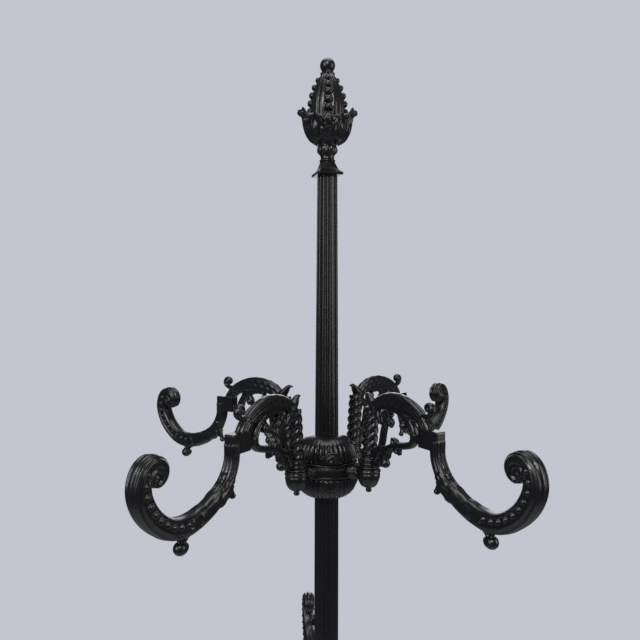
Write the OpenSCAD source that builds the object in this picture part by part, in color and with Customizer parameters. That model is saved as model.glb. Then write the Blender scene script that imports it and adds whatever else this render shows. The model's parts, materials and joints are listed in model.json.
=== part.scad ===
// Standing coat rack: a fluted cast column with two tiers of four swivelling
// scroll arms, a pine cone finial and a four legged base, clamped together by
// one tie rod. Millimetres, +Z up, origin on the floor under the column axis.

/* [Stand] */
// Height of the stand from the floor to the top of the finial
total_h = 1820; // [1780:5:1900]
// Height of the centre of the upper hub above the floor
upper_hub_z = 1278; // [1240:1:1300]
// Distance between the centres of the two hubs
tier_gap = 400; // [360:5:460]

/* [Column] */
// Column diameter just below the finial
col_top_d = 27; // [24:0.5:30]
// Growth of the upper column's radius per metre going down
col_taper = 6.7; // [5:0.1:7.5]
// Growth of the radius per metre below the upper hub
col_taper_low = 1; // [0.5:0.1:1.5]
// Number of flutes round the column
flutes = 16; // [12:1:20]
// Radius of the cutter that makes one flute
flute_r = 1.8; // [1.2:0.1:2]
// Diameter of the bore for the tie rod
rod_bore_d = 13; // [12:0.5:14]
// Diameter of the tie rod
rod_d = 10; // [8:1:11]

// Turn of the finial about the column, degrees
finial_turn = -7; // [-45:1:45]
// Turn of the square cap about the column, degrees
cap_turn = 7; // [-45:1:45]

/* [Hub] */
// Radius of the ball of the hub
hub_r = 40.6; // [40:0.1:42]
// Distance of a socket from the column axis
socket_at = 65.6; // [65:0.1:68]
// Outer radius of a socket
socket_r = 15; // [14:0.5:16]
// Radius of the arm's peg
peg_r = 6; // [5:0.5:7]
// Radial running clearance of the peg in its socket
peg_gap = 0.05; // [0.02:0.01:0.1]

/* [Arms] */
// Width of the arm casting across its plane
arm_w = 14; // [13:0.5:15]
// Width of the rolled head of the arm
head_w = 19; // [17:0.5:20]
// Width of the rolled outer curve of the hook
roll_w = 21; // [18:0.5:22]
// Resting swing of the upper front right arm, degrees
swing_ufr = -22.5; // [-35:0.5:35]
// Resting swing of the upper front left arm, degrees
swing_ufl = 4.5; // [-35:0.5:35]
// Resting swing of the upper rear right arm, degrees
swing_urr = -4.5; // [-35:0.5:35]
// Resting swing of the upper rear left arm, degrees
swing_url = 0.5; // [-35:0.5:35]
// Resting swing of the lower front and rear arms, degrees
swing_lfr = -5; // [-35:0.5:35]

/* [Base] */
// Distance of a foot from the column axis
foot_at = 222; // [210:1:240]
// Width of a leg casting
leg_w = 18; // [16:1:20]
// Height of the foot pads
pad_h = 8; // [6:1:9]

/* [Hidden] */
iron = "#1b1b1d";
steel = "#5a5a5e";
lower_hub_z = upper_hub_z - tier_gap;
cap_z = total_h - 156;         // underside of the square cap, top of the column
mouth = 11;                    // socket mouth above the hub centre
thrust = 0.3;                  // play between the arm's collar and the socket mouth
dome_top = 215 + 47;           // top of the base dome, foot of the column
seat_hi = 45;                  // flat on the hub that a column stands on, above the hub centre
seat_lo = 36.5;                // flat under the hub, below its centre
seat_r = 18.4;                 // radius of both flats
band_lo = -6;                  // socket ring, from and to, about the hub centre
band_hi = 14;

function col_r(z) = col_top_d / 2 + (cap_z - max(z, upper_hub_z)) * col_taper / 1000
    + max(0, upper_hub_z - z) * col_taper_low / 1000;
// profile of half a hub: full at the belt, flat at the end, g larger all round
function shell(h, n, last, g) = [for (i = [0 : 8]) let (t = last * i / 9)
    [(hub_r + g) * pow(cos(t), 2 / n), (h + g) * pow(sin(t), 2 / n)]];

// a smooth line through hand set stations [along, up, thickness]
function blend(a, b, c, d, t) =
    0.5 * (2 * b + (c - a) * t + (2 * a - 5 * b + 4 * c - d) * t * t + (3 * b - a - 3 * c + d) * t * t * t);
function line(p, n) = let (m = len(p) - 1)
    [for (i = [0 : m - 1], k = [0 : n - 1])
        blend(p[max(i - 1, 0)], p[i], p[i + 1], p[min(i + 2, m)], k / n), p[m]];
function turn(q, i) = let (a = q[max(i - 1, 0)], b = q[min(i + 1, len(q) - 1)], d = norm([b[0] - a[0], b[1] - a[1]]))
    [-(b[1] - a[1]) / d, (b[0] - a[0]) / d];
function side(q, s) = [for (i = [0 : len(q) - 1]) let (v = turn(q, i))
    [q[i][0] + s * v[0] * q[i][2] / 2, q[i][1] + s * v[1] * q[i][2] / 2]];
function flip(l) = [for (i = [len(l) - 1 : -1 : 0]) l[i]];
function band_outline(p, n) = let (q = line(p, n)) concat(side(q, 1), flip(side(q, -1)));
function oval(x, y, a, b, n) = [for (i = [0 : n - 1]) [x + a * cos(360 * i / n), y + b * sin(360 * i / n)]];

// stations of the arm, from the peg axis along and from the socket mouth up
hook_line = [[127, 56, 13.5], [127, 43, 13.5], [131, 31, 14.5], [139, 19, 15.5], [152, 8, 17.5], [169, -1, 19.5], [189, -6.5, 21.5],
             [206, -7.5, 21.5], [223, -3, 21.5], [238.5, 7.5, 21.5], [250, 20.5, 21.5], [256.8, 35, 21], [258, 48, 19.5]];
crown_line = [[4, 64, 11], [9, 75, 13], [18, 83, 16], [28, 88, 18], [41, 91, 20], [57, 92.5, 21], [74, 89, 19], [90, 82, 16],
              [104, 75, 14], [115, 63, 13]];
scroll_line = [[70, 66, 7], [79, 67, 5], [86, 61, 6], [88, 53, 7], [83, 47, 7], [72, 42, 8], [58, 39, 9],
               [46, 35, 7], [31, 29, 7], [8, 22, 9]];
bracket_line = [[47, 36, 3], [38, 26, 8], [28, 15, 8], [14, 7, 8]];
// stations of the base leg, from the column axis along and from the floor up
leg_line = [[68, 196, 20], [86, 182, 24], [101, 152, 20], [113, 120, 18], [131, 90, 17], [155, 64, 17], [182, 45, 18],
            [206, 32, 18], [222, 24, 16]];
knee_line = [[50, 98, 22], [76, 94, 16], [95, 104, 12], [110, 122, 10]];

module plate(w, pts) { rotate([90, 0, 0]) linear_extrude(height = w, center = true) polygon(pts); }
module ball(x, z, r) { translate([x, 0, z]) sphere(r = r, $fn = 40); }

// one arm, peg axis on the Z axis, socket mouth at z = 0, arm along +X
module arm() {
    color(iron) union() {
        plate(arm_w, band_outline(hook_line, 4));
        plate(roll_w, band_outline([for (i = [7 : 12]) hook_line[i]], 4));
        plate(head_w, oval(246, 54, 19.4, 17.5, 28));
        plate(arm_w, [[101, 47], [132, 47], [132, 69], [101, 69]]);
        plate(arm_w, band_outline(crown_line, 4));
        plate(arm_w - 3, band_outline(scroll_line, 3));
        plate(arm_w - 4, [[86, 50], [104, 52], [104, 59], [86, 58]]);
        plate(arm_w - 3.5, band_outline(bracket_line, 3));
        plate(arm_w - 5, [[8, 72], [22, 80], [14, 88], [4, 92], [-3, 95], [1, 87]]);
        plate(7, band_outline([[99, 76, 9], [106, 82, 8], [113, 90, 7]], 3));
        ball(114.5, 91, 7);
        ball(69, 66, 5);
        ball(206, -28, 7);
        ball(34.5, 13, 5.5);
        translate([204, 0, -24]) cylinder(r = 2.6, h = 14, $fn = 32);
        translate([0.5, 0, 9]) rotate([0, 4, 0]) cylinder(r = 8.5, h = 75, $fn = 48);
        translate([0, 0, thrust]) rotate_extrude($fn = 64)
            polygon([[0, 0], [12.5, 0], [13.5, 2], [12.5, 4], [10.5, 5], [11.8, 7], [10.5, 10], [9, 12], [0, 12]]);
        translate([0, 0, -22]) cylinder(r = peg_r, h = 23, $fn = 64);
    }
}

// an arm of a tier: az is the direction of its socket, s its swing about the peg
module arm_at(hub_z, az, s) {
    rotate([0, 0, az]) translate([socket_at, 0, hub_z + mouth]) rotate([0, 0, s]) arm();
}

// a length of the tapering fluted column, from z0 up to z1
module column(z0, z1) {
    r0 = col_r(z0);
    r1 = col_r(z1);
    tilt = atan((r0 - r1) / (z1 - z0));
    color(iron) difference() {
        translate([0, 0, z0]) cylinder(r1 = r0, r2 = r1, h = z1 - z0, $fn = 96);
        for (i = [0 : flutes - 1]) rotate([0, 0, 360 * (i + 0.5) / flutes])
            translate([r0 + 0.6, 0, z0]) rotate([0, -tilt, 0]) translate([0, 0, -5])
                cylinder(r = flute_r, h = z1 - z0 + 10, $fn = 24);
        translate([0, 0, z0 - 1]) cylinder(d = rod_bore_d, h = z1 - z0 + 2, $fn = 48);
    }
}

// a moulded ring round the column, its lower face at z0
module collar(z0, inner, outer, h) {
    color(iron) translate([0, 0, z0]) rotate_extrude($fn = 72)
        polygon([[inner, 0], [outer - 1.5, 0], [outer, h * 0.3], [outer - 0.5, h * 0.55], [inner + 2.4, h * 0.7],
                 [inner + 1.8, h], [inner, h]]);
}

// upper half of the ball, with an arched panel on each face between the sockets
module hub_crown(hub_z) {
    color(iron) translate([0, 0, hub_z]) difference() {
        union() {
            rotate_extrude($fn = 96)
                polygon(concat([[0, band_hi]], [for (q = shell(32.7, 2.6, 68.9, 0)) [q[0], band_hi + q[1]]],
                    [[seat_r, seat_hi], [0, seat_hi]]));
            for (a = [0 : 90 : 270]) rotate([0, 0, a]) intersection() {
                rotate_extrude($fn = 96)
                    polygon(concat([[0, band_hi]], [for (q = shell(32.7, 2.6, 68.9, 1.6)) [q[0], band_hi + q[1]]],
                        [[0, seat_hi]]));
                translate([30, 0, 22]) rotate([0, 90, 0]) union() {
                    cylinder(r = 9, h = 30, center = true, $fn = 48);
                    translate([3.5, 0, 0]) cube([7, 18, 30], center = true);
                }
            }
        }
        translate([0, 0, band_hi - 30]) cylinder(r = 60, h = 30, $fn = 48);
        translate([0, 0, -1]) cylinder(d = rod_bore_d, h = 60, $fn = 48);
    }
}

// plain belt of the hub with its four acorn sockets
module socket_ring(hub_z, first) {
    color(iron) translate([0, 0, hub_z]) difference() {
        union() {
            rotate_extrude($fn = 96)
                polygon([[0, band_lo], [40, band_lo], [hub_r + 0.4, band_lo + 2], [hub_r + 0.4, 8], [hub_r + 1.4, 9.5],
                         [hub_r - 0.6, 11], [hub_r + 0.2, 12.5], [38.2, band_hi], [0, band_hi]]);
            for (a = [0 : 90 : 270]) rotate([0, 0, a + first]) {
                translate([socket_at, 0, 0]) rotate_extrude($fn = 64)
                    polygon([[0, -20.4], [3.4, -18.6], [3.8, -17], [3, -14.4], [6, -13], [10.5, -10], [13.4, -5],
                             [14.4, 0], [14.4, 5], [socket_r, 7], [socket_r, mouth - 1], [socket_r - 1, mouth], [0, mouth]]);
                translate([35, -7, -5]) cube([20, 14, 14]);
            }
        }
        for (a = [0 : 90 : 270]) rotate([0, 0, a + first]) translate([socket_at, 0, -11.5])
            cylinder(r = peg_r + peg_gap, h = 40, $fn = 64);
        translate([0, 0, -30]) cylinder(d = rod_bore_d, h = 60, $fn = 48);
    }
}

// lower half of the ball
module hub_bowl(hub_z) {
    color(iron) translate([0, 0, hub_z]) difference() {
        union() {
            rotate_extrude($fn = 96)
                polygon(concat([[0, band_lo]], [for (q = shell(31.6, 2.9, 71.3, 0)) [q[0], band_lo - q[1]]],
                    [[seat_r, -seat_lo], [0, -seat_lo]]));
            for (a = [0 : 90 : 270]) rotate([0, 0, a]) intersection() {
                rotate_extrude($fn = 96)
                    polygon(concat([[0, band_lo]], [for (q = shell(31.6, 2.9, 71.3, 1.4)) [q[0], band_lo - q[1]]],
                        [[0, -seat_lo]]));
                translate([30, 0, -16]) rotate([0, 90, 0]) union() {
                    cylinder(r = 10, h = 30, center = true, $fn = 48);
                    translate([-4.5, 0, 0]) cube([9, 20, 30], center = true);
                }
            }
        }
        translate([0, 0, -50]) cylinder(d = rod_bore_d, h = 60, $fn = 48);
    }
}

// pine cone in a cup of four curled leaves, on a short neck
module finial() {
    color(iron) translate([0, 0, cap_z + 3]) rotate([0, 0, finial_turn]) difference() {
        union() {
            rotate_extrude($fn = 72)
                polygon([[0, 17], [10, 17], [10.5, 19], [9, 21], [10, 25], [13, 29], [13.5, 34], [13, 38], [16, 41],
                         [25, 47], [28, 57], [28, 68], [27, 76], [26, 88], [25.5, 95], [23, 107], [19, 118], [15, 126],
                         [7, 134], [5.5, 137], [0, 138]]);
            translate([0, 0, 143]) sphere(r = 10, $fn = 48);
            for (a = [0 : 90 : 270]) {
                rotate([0, 0, a]) plate(20, [[20, 40], [29, 44], [33, 58], [34, 68], [37, 76], [37, 81], [33, 82],
                                                        [29, 78], [20, 78]]);
                rotate([0, 0, a + 45]) plate(14, [[20, 44], [29, 50], [31, 60], [33, 66], [31, 70], [26, 68], [20, 66]]);
            }
        }
        translate([0, 0, -1]) cylinder(d = rod_d + 0.4, h = 36, $fn = 48);
    }
}

// square cap that closes the top of the column, waisted up to the finial
module column_cap() {
    color(iron) translate([0, 0, cap_z]) rotate([0, 0, cap_turn]) difference() {
        union() {
            translate([-17.5, -17.5, 2]) cube([35, 35, 4]);
            cylinder(r = 13.2, h = 3, $fn = 72);
            rotate_extrude($fn = 72) polygon([[0, 5], [17, 5], [17, 6], [14, 8], [11.5, 11], [10.2, 16], [9.8, 20], [0, 20]]);
        }
        translate([0, 0, -1]) cylinder(d = rod_bore_d, h = 30, $fn = 48);
    }
}

module base_dome() {
    color(iron) difference() {
        rotate_extrude($fn = 96)
            polygon([[0, 215], [62, 215], [64, 219], [62, 223], [58, 226], [54, 236], [46, 247], [36, 255], [27, 258],
                     [26, 262], [0, 262]]);
        translate([0, 0, 200]) cylinder(d = rod_bore_d, h = 80, $fn = 48);
    }
}

// hollow drum, open below, with a flat boss and two bolt holes for each leg
module base_drum() {
    color(iron) difference() {
        union() {
            rotate_extrude($fn = 96)
                polygon([[0, 76], [50, 76], [54, 80], [54, 88], [50, 92], [48, 110], [48, 180], [50, 198], [55, 203],
                         [55, 215], [0, 215]]);
            for (a = [45 : 90 : 315]) rotate([0, 0, a]) translate([30, -13, 78]) cube([30, 26, 130]);
        }
        rotate([0, 0, 45]) translate([-33, -33, 70]) cube([66, 66, 132]);
        translate([0, 0, 190]) cylinder(d = rod_bore_d, h = 40, $fn = 48);
        for (a = [45 : 90 : 315], z = [98, 186]) rotate([0, 0, a]) translate([20, 0, z]) rotate([0, 90, 0])
            cylinder(r = 4.3, h = 60, $fn = 32);
    }
}

module leg(az) {
    color(iron) rotate([0, 0, az]) difference() {
        union() {
            intersection() {
                union() {
                    plate(leg_w, band_outline(leg_line, 4));
                    plate(leg_w, band_outline(knee_line, 4));
                    translate([76, 0, 197]) rotate([90, 0, 0]) cylinder(r = 17, h = leg_w + 4, center = true, $fn = 64);
                    translate([100, 0, 130]) rotate([90, 0, 0]) cylinder(r = 13, h = leg_w + 4, center = true, $fn = 64);
                    plate(leg_w + 4, [[55, 78], [70, 84], [70, 112], [55, 114]]);
                    plate(leg_w + 4, [[55, 170], [70, 172], [72, 208], [55, 208]]);
                }
                translate([60, -20, 0]) cube([300, 40, 214]);
            }
            translate([foot_at, 0, pad_h]) cylinder(r = 14, h = 16, $fn = 64);
            translate([foot_at - 2, 0, pad_h + 20]) rotate([90, 0, 0])
                cylinder(r = 15, h = leg_w + 6, center = true, $fn = 64);
        }
        for (z = [98, 186]) translate([50, 0, z]) rotate([0, 90, 0]) cylinder(r = 4.2, h = 26, $fn = 32);
    }
}

module leg_bolts() {
    color(steel) for (a = [45 : 90 : 315], z = [98, 186]) rotate([0, 0, a]) translate([33, 0, z]) rotate([0, 90, 0]) {
        cylinder(r = 4, h = 42, $fn = 32);
        translate([0, 0, -5.3]) cylinder(r = 7.5, h = 5.3, $fn = 6);
    }
}

module foot_pads() {
    color("#202020") for (a = [45 : 90 : 315]) rotate([0, 0, a]) translate([foot_at, 0, 0])
        rotate_extrude($fn = 64) polygon([[0, 0], [14, 0], [15, 1], [15, pad_h - 2], [14, pad_h], [0, pad_h]]);
}

module tie_rod() {
    color(steel) translate([0, 0, 180]) cylinder(d = rod_d, h = cap_z + 36 - 180, $fn = 48);
}

module tie_rod_nut() {
    color(steel) difference() {
        translate([0, 0, 190.5]) cylinder(r = 9.5, h = 8.5, $fn = 6);
        translate([0, 0, 180]) cylinder(d = rod_d + 0.1, h = 30, $fn = 48);
    }
}

module tie_rod_washer() {
    color(steel) difference() {
        translate([0, 0, 199]) cylinder(r = 14, h = 3, $fn = 64);
        translate([0, 0, 180]) cylinder(d = rod_d + 1, h = 40, $fn = 48);
    }
}

finial();
column_cap();
column(upper_hub_z + seat_hi, cap_z);  // upper_column
hub_crown(upper_hub_z);  // upper_hub_crown
socket_ring(upper_hub_z, 45);  // upper_hub_socket_ring
hub_bowl(upper_hub_z);  // upper_hub_bowl
arm_at(upper_hub_z, -45, swing_ufr);  // upper_arm_front_right
arm_at(upper_hub_z, -135, swing_ufl);  // upper_arm_front_left
arm_at(upper_hub_z, 45, swing_urr);  // upper_arm_rear_right
arm_at(upper_hub_z, 135, swing_url);  // upper_arm_rear_left
column(lower_hub_z + seat_hi, upper_hub_z - seat_lo);  // middle_column
rotate([0, 0, 45]) hub_crown(lower_hub_z);  // lower_hub_crown
socket_ring(lower_hub_z, 0);  // lower_hub_socket_ring
rotate([0, 0, 45]) hub_bowl(lower_hub_z);  // lower_hub_bowl
arm_at(lower_hub_z, -90, swing_lfr);  // lower_arm_front
arm_at(lower_hub_z, 0, 0);  // lower_arm_right
arm_at(lower_hub_z, 90, swing_lfr);  // lower_arm_rear
arm_at(lower_hub_z, 180, 0);  // lower_arm_left
column(dome_top, lower_hub_z - seat_lo);  // lower_column
collar(dome_top, col_r(dome_top) + 0.4, 26, 9);  // base_collar
base_dome();
base_drum();
leg(-45);  // leg_front_right
leg(-135);  // leg_front_left
leg(45);  // leg_rear_right
leg(135);  // leg_rear_left
leg_bolts();
foot_pads();
tie_rod();
tie_rod_nut();
tie_rod_washer();
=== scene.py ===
import json
import math

import bpy
import numpy as np
from mathutils import Matrix, Vector


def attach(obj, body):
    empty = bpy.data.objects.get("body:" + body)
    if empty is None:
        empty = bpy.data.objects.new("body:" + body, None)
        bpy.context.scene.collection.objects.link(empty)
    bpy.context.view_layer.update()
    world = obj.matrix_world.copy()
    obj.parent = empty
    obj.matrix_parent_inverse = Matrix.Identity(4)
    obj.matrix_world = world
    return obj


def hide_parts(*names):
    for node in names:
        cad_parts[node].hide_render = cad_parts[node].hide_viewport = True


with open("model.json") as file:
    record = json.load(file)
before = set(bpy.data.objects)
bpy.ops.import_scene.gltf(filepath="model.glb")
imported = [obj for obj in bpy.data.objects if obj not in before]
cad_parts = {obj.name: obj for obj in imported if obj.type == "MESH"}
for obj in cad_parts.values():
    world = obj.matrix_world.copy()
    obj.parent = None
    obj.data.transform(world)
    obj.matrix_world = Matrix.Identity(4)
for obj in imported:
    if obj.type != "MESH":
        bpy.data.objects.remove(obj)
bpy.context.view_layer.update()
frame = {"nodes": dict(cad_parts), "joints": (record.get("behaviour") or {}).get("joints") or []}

pi = math.pi
scene = bpy.context.scene
JOINTS = {j["child"]: j for j in frame["joints"]}


# ---------------------------------------------------------------- mesh kit (millimetres)
def cr(points, n):
    """A smooth line through stations of any dimension."""
    p = np.asarray(points, float)
    m = len(p) - 1
    out = []
    for i in range(m):
        a, b, c, d = p[max(i - 1, 0)], p[i], p[i + 1], p[min(i + 2, m)]
        for k in range(n):
            t = k / n
            out.append(0.5 * (2 * b + (c - a) * t + (2 * a - 5 * b + 4 * c - d) * t * t + (3 * b - a - 3 * c + d) * t ** 3))
    out.append(p[m])
    return np.array(out)


def even(points, step):
    """The same line with stations an even step apart, measured on the first two or three columns."""
    p = np.asarray(points, float)
    dim = 3 if p.shape[1] > 3 else 2
    d = np.r_[0, np.cumsum(np.linalg.norm(np.diff(p[:, :dim], axis=0), axis=1))]
    n = max(2, int(round(d[-1] / step)) + 1)
    s = np.linspace(0, d[-1], n)
    return np.stack([np.interp(s, d, p[:, k]) for k in range(p.shape[1])], 1), s


def step01(x, a, b):
    t = np.clip((np.asarray(x, float) - a) / (b - a), 0, 1)
    return t * t * (3 - 2 * t)


def grid(P, closed=True, caps=True):
    """A closed skin over rows of points, P[row, round, xyz]."""
    n, m, _ = P.shape
    v = P.reshape(-1, 3)
    f = []
    for i in range(n - 1):
        for j in range(m if closed else m - 1):
            k = (j + 1) % m
            f.append((i * m + j, i * m + k, (i + 1) * m + k, (i + 1) * m + j))
    if caps:
        base = len(v)
        v = np.vstack([v, P[0].mean(0), P[-1].mean(0)])
        for j in range(m):
            k = (j + 1) % m
            f.append((base, k, j))
            f.append((base + 1, (n - 1) * m + j, (n - 1) * m + k))
    return v, f


def ball(c, r, sq=(1, 1, 1), n=16, rot=None):
    th = np.linspace(0, 2 * pi, 2 * n, endpoint=False)
    ph = np.linspace(-pi / 2, pi / 2, n + 1)[1:-1]
    P = np.stack([np.cos(ph)[:, None] * np.cos(th), np.cos(ph)[:, None] * np.sin(th), np.sin(ph)[:, None] + 0 * th], -1)
    v, f = grid(P)
    v = v.copy()
    v[-2], v[-1] = (0, 0, -1), (0, 0, 1)
    v = v * np.array(sq) * r
    if rot is not None:
        v = v @ np.array(rot).T
    return v + np.array(c, float), f


def rot_y(deg):
    a = math.radians(deg)
    return np.array([[math.cos(a), 0, math.sin(a)], [0, 1, 0], [-math.sin(a), 0, math.cos(a)]])


def rot_z(deg):
    a = math.radians(deg)
    return np.array([[math.cos(a), -math.sin(a), 0], [math.sin(a), math.cos(a), 0], [0, 0, 1]])


def moved(shell, R=None, t=(0, 0, 0)):
    v, f = shell
    if R is not None:
        v = v @ np.array(R).T
    return v + np.array(t, float), f


def band(stations, w, section, step=1.6, n=30):
    """A bar swept along [u, v, thickness] stations in the XZ plane, w(s) its half width along Y, section(x, s) -> 0..1 of that half width."""
    q, s = even(cr(stations, 12), step)
    t = np.gradient(q[:, :2], axis=0)
    t /= np.linalg.norm(t, axis=1)[:, None]
    nrm = np.stack([-t[:, 1], t[:, 0]], 1)
    th = np.linspace(-pi / 2, pi / 2, n)
    x = np.sin(th)
    rows = []
    total = s[-1]
    for i in range(len(q)):
        half = q[i, 2] / 2
        W = w(s[i] / total)
        env = (1 - np.abs(x) ** 3.2) ** (1 / 3.2)
        b = W * env * section(x, s[i] / total)
        side1 = np.stack([q[i, 0] + nrm[i, 0] * half * x, b, q[i, 1] + nrm[i, 1] * half * x], 1)
        side2 = side1[::-1][1:-1].copy()
        side2[:, 1] *= -1
        rows.append(np.vstack([side1, side2]))
    return grid(np.array(rows))


def bar(stations, w, relief=None, step=1.3, n=96, p=3.0):
    """A bar swept along [u, v, thickness] stations in the XZ plane. Its outline is a rounded oblong, half width w(s) along Y; relief(a, b, s) moves the skin out, in mm,
    where a runs -1 to 1 across the thickness and b across the width."""
    q, s = even(cr(stations, 12), step)
    t = np.gradient(q[:, :2], axis=0)
    t /= np.linalg.norm(t, axis=1)[:, None]
    nrm = np.stack([-t[:, 1], t[:, 0]], 1)
    th = np.linspace(0, 2 * pi, n, endpoint=False)
    a = np.sign(np.sin(th)) * np.abs(np.sin(th)) ** (2 / p)
    b = np.sign(np.cos(th)) * np.abs(np.cos(th)) ** (2 / p)
    rows = []
    for i in range(len(q)):
        h, W = q[i, 2] / 2, w(s[i] / s[-1])
        A, B = h * a, W * b
        if relief is not None:
            na, nb = np.abs(a) ** (p - 1) * np.sign(a) / h, np.abs(b) ** (p - 1) * np.sign(b) / W
            L = np.hypot(na, nb)
            d = relief(a, b, s[i] / s[-1])
            A, B = A + d * na / L, B + d * nb / L
        rows.append(np.stack([q[i, 0] + nrm[i, 0] * A, B, q[i, 1] + nrm[i, 1] * A], 1))
    return grid(np.array(rows))


def tube(path, radius, n=14, flat=1.0, step=1.2):
    """A round bar along 3D stations [x, y, z, r]."""
    q, s = even(cr(np.c_[np.asarray(path, float), np.asarray(radius, float)], 10), step)
    t = np.gradient(q[:, :3], axis=0)
    t /= np.linalg.norm(t, axis=1)[:, None]
    up = np.array([0, 1.0, 0]) if abs(t[0, 1]) < 0.9 else np.array([1.0, 0, 0])
    a = np.cross(t[0], up)
    a /= np.linalg.norm(a)
    th = np.linspace(0, 2 * pi, n, endpoint=False)
    rows = []
    for i in range(len(q)):
        a = a - t[i] * (a @ t[i])
        a /= np.linalg.norm(a)
        b = np.cross(t[i], a)
        rows.append(q[i, :3] + q[i, 3] * (np.cos(th)[:, None] * a + flat * np.sin(th)[:, None] * b))
    return grid(np.array(rows))


def leaf(spine, width, normal, thick=1.6, lobes=0, lobe=0.16, cup=0.0, mid=0.8, n=17, step=1.0, phase=0.0):
    """An acanthus blade: spine of 3D stations, half width at each, its face normal near `normal`. Lobed edge, raised midrib."""
    q, s = even(cr(np.c_[np.asarray(spine, float), np.asarray(width, float)], 12), step)
    t = np.gradient(q[:, :3], axis=0)
    t /= np.linalg.norm(t, axis=1)[:, None]
    nn = np.array(normal, float)
    tt = s / s[-1]
    rows = []
    for i in range(len(q)):
        sd = np.cross(t[i], nn)
        sd /= np.linalg.norm(sd)
        up = np.cross(sd, t[i])
        W = q[i, 3]
        if lobes:
            W *= 1 + lobe * (abs(math.sin(pi * lobes * tt[i] + phase)) * 2 - 1.2)
        x = np.linspace(-1, 1, n)
        rise = cup * W * x * x + mid * np.exp(-(x / 0.18) ** 2)
        if lobes:
            rise = rise + 0.35 * np.cos(pi * 2 * lobes * (tt[i] - 0.25 * np.abs(x)) + phase * 2) * (np.abs(x) > 0.15)
        th = thick * (1 - 0.75 * x * x) * min(1, 0.25 + 2.2 * min(tt[i], 1 - tt[i]) * 2)
        top = q[i, :3] + x[:, None] * W * sd + (rise + th / 2)[:, None] * up
        bot = q[i, :3] + x[:, None] * W * sd + (rise - th / 2)[:, None] * up
        rows.append(np.vstack([top, bot[::-1]]))
    return grid(np.array(rows))


def revolve(profile, n=96, mod=None, bored=False):
    """A turned solid from [radius, z] points, from the bottom up; mod(theta, z, r) -> radius. A bored one joins its last point to its first."""
    th = np.linspace(0, 2 * pi, n, endpoint=False)
    rows = []
    for r, z in profile:
        rr = mod(th, z, r) if mod else np.full(n, float(r))
        rows.append(np.stack([rr * np.cos(th), rr * np.sin(th), np.full(n, float(z))], 1))
    if not bored:
        return grid(np.array(rows))
    v, f = grid(np.array(rows), caps=False)
    last = (len(rows) - 1) * n
    return v, f + [(last + j, last + (j + 1) % n, (j + 1) % n, j) for j in range(n)]


def box_shell(lo, hi, bevel=0.0):
    lo, hi = np.array(lo, float), np.array(hi, float)
    b = bevel
    rows = []
    for z, i in ((lo[2], b), (lo[2] + b, 0), (hi[2] - b, 0), (hi[2], b)):
        x0, x1, y0, y1 = lo[0] + i, hi[0] - i, lo[1] + i, hi[1] - i
        rows.append([(x0 + b, y0, z), (x1 - b, y0, z), (x1, y0 + b, z), (x1, y1 - b, z), (x1 - b, y1, z), (x0 + b, y1, z), (x0, y1 - b, z), (x0, y0 + b, z)])
    return grid(np.array(rows, float))


def mesh_of(shells, scale=1.0):
    vs, fs, k = [], [], 0
    for v, f in shells:
        vs.append(v)
        fs += [tuple(i + k for i in g) for g in f]
        k += len(v)
    me = bpy.data.meshes.new("m")
    me.from_pydata((np.vstack(vs) * scale).tolist(), [], fs)
    me.update()
    return me


def relax(me, rounds, lam=0.5, mu=-0.52):
    """Taubin smoothing, which takes the grid out of a remeshed skin and keeps its size."""
    n = len(me.vertices)
    co = np.empty(n * 3, np.float32)
    me.vertices.foreach_get("co", co)
    co = co.reshape(-1, 3).astype(float)
    e = np.empty(len(me.edges) * 2, np.int32)
    me.edges.foreach_get("vertices", e)
    e = e.reshape(-1, 2)
    deg = np.bincount(e.ravel(), minlength=n).astype(float)[:, None]
    for r in range(rounds):
        for k in (lam, mu):
            acc = np.stack([np.bincount(e[:, 0], co[e[:, 1], c], n) + np.bincount(e[:, 1], co[e[:, 0], c], n) for c in range(3)], 1)
            co += k * (acc / deg - co)
    me.vertices.foreach_set("co", co.astype(np.float32).ravel())
    me.update()


def cast(shells, voxel, rounds=3, keep=None):
    """One closed skin round all the shells, as one casting. Input in millimetres, result in metres."""
    raw = mesh_of(shells)
    ob = bpy.data.objects.new("raw", raw)
    scene.collection.objects.link(ob)
    m = ob.modifiers.new("r", "REMESH")
    m.mode = "VOXEL"
    m.voxel_size = voxel
    m.adaptivity = 0
    bpy.context.view_layer.update()
    dg = bpy.context.evaluated_depsgraph_get()
    me = bpy.data.meshes.new_from_object(ob.evaluated_get(dg))
    bpy.data.objects.remove(ob)
    bpy.data.meshes.remove(raw)
    relax(me, rounds)
    if keep:
        keep(me)
    me.transform(Matrix.Scale(0.001, 4))
    me.polygons.foreach_set("use_smooth", [True] * len(me.polygons))
    return me


def plain(shells, angle=40):
    me = mesh_of(shells, 0.001)
    bm_fix(me)
    me.polygons.foreach_set("use_smooth", [True] * len(me.polygons))
    me.set_sharp_from_angle(angle=math.radians(angle))
    return me


def bm_fix(me):
    import bmesh
    bm = bmesh.new()
    bm.from_mesh(me)
    bmesh.ops.remove_doubles(bm, verts=bm.verts, dist=1e-7)
    bmesh.ops.recalc_face_normals(bm, faces=bm.faces)
    bm.to_mesh(me)
    bm.free()


def place(name, me, body, nodes, material, matrix=None):
    ob = bpy.data.objects.new(name, me)
    scene.collection.objects.link(ob)
    if matrix is not None:
        ob.matrix_world = matrix
    if not me.materials:
        me.materials.append(material)
    bpy.context.view_layer.update()
    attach(ob, body)
    if nodes:
        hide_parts(*nodes)
    return ob


def frac(stations, i):
    """Share of the line's length at station i (which may be between two stations)."""
    p = cr(stations, 12)
    d = np.r_[0, np.cumsum(np.linalg.norm(np.diff(p[:, :2], axis=0), axis=1))]
    return float(np.interp(i * 12, np.arange(len(d)), d) / d[-1])


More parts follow.
